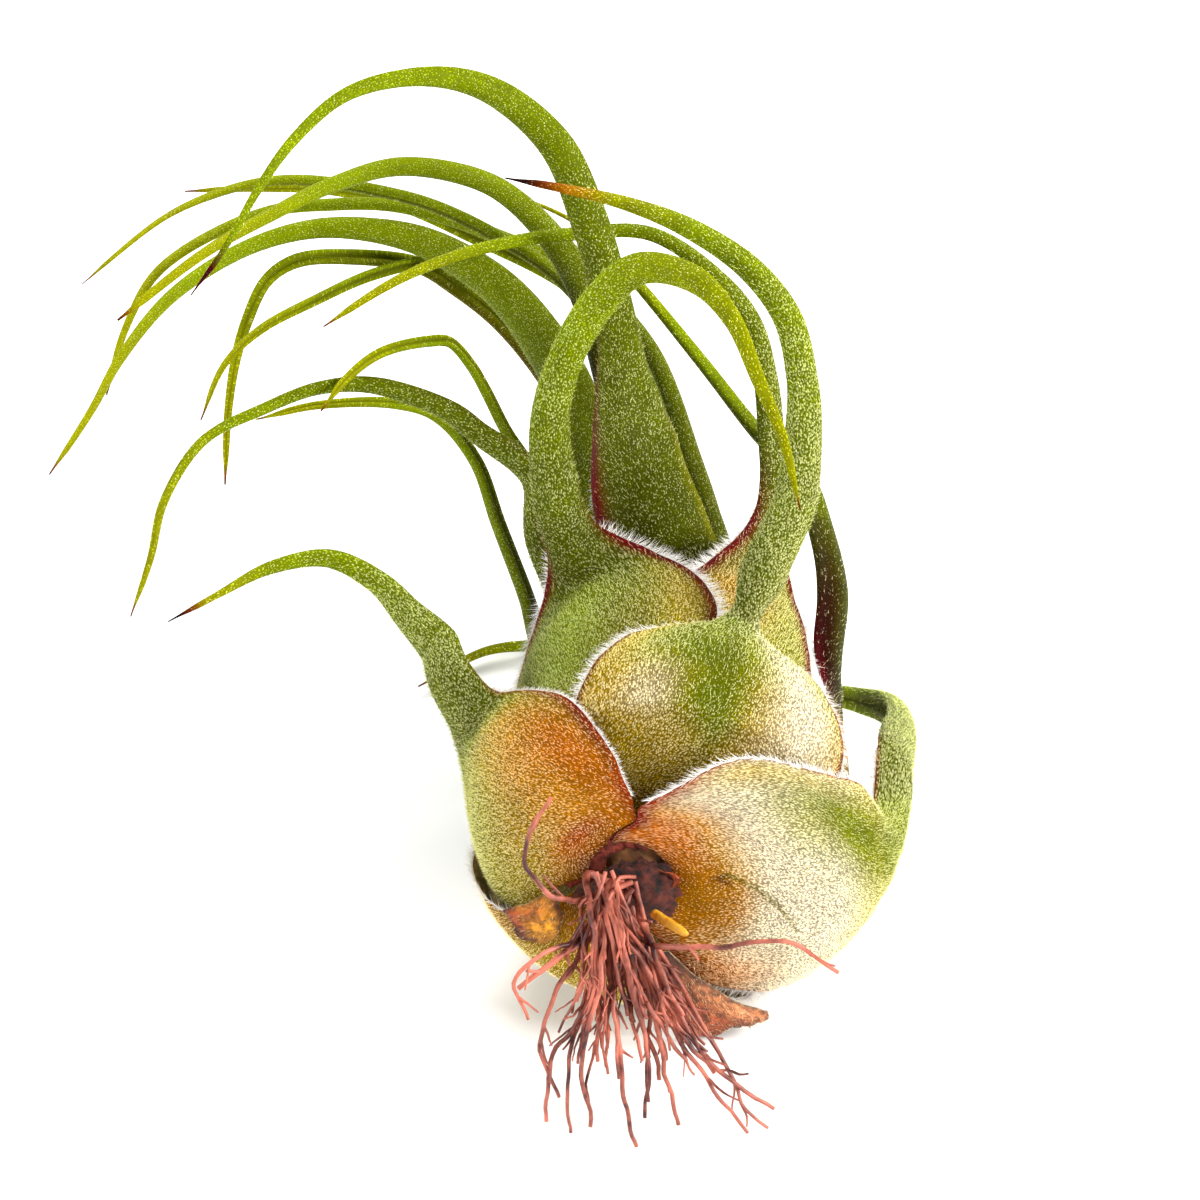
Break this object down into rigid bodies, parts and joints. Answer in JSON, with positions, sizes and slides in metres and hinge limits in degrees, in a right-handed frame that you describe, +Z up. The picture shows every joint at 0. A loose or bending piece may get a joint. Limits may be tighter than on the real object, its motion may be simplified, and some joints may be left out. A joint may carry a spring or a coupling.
{
  "type": "tillandsia seleriana air plant",
  "caption": "Air plant with a round bulb of wrapped leaf sheaths, narrow channelled blades sweeping to one side and a tuft of roots, lying on its side.",
  "frame": {"origin": "centre of the box in plan, at the height of the table the plant lies on", "axes": "+Z up from the table, +Y from the roots along the bulb toward the blades, +X to the right as seen from the root end"},
  "size_m": [0.1015, 0.126, 0.0817],
  "materials": {
    "bulb_leaf": "matt leaf, cream to orange at the sheath and grey-green at the blade, under silvery scales",
    "inner_leaf": "matt green leaf under silvery scales, purple-brown at the tip",
    "dried_sheath": "dry, papery and wrinkled, reddish brown",
    "stem": "rough short stem, hidden inside the bulb",
    "root": "matt wiry roots, reddish brown"
  },
  "bodies": {
    "root": {"leaf_left": "bulb_leaf", "leaf_right": "bulb_leaf", "leaf_under": "bulb_leaf", "leaf_top": "bulb_leaf", "leaf_front": "bulb_leaf", "leaf_far_right": "bulb_leaf", "leaf_mid_right": "bulb_leaf", "leaf_low_left": "bulb_leaf", "leaf_tall": "bulb_leaf", "leaf_broad": "inner_leaf", "leaf_second": "inner_leaf", "leaf_lower_left": "inner_leaf", "leaf_short_arch": "inner_leaf", "leaf_channelled": "inner_leaf", "leaf_slim": "inner_leaf", "leaf_back_high": "inner_leaf", "leaf_back_low": "inner_leaf", "leaf_hidden_tip": "inner_leaf", "dried_sheath_right": "dried_sheath", "dried_sheath_left": "dried_sheath", "stem": "stem", "roots": "root"}
  },
  "joints": []
}
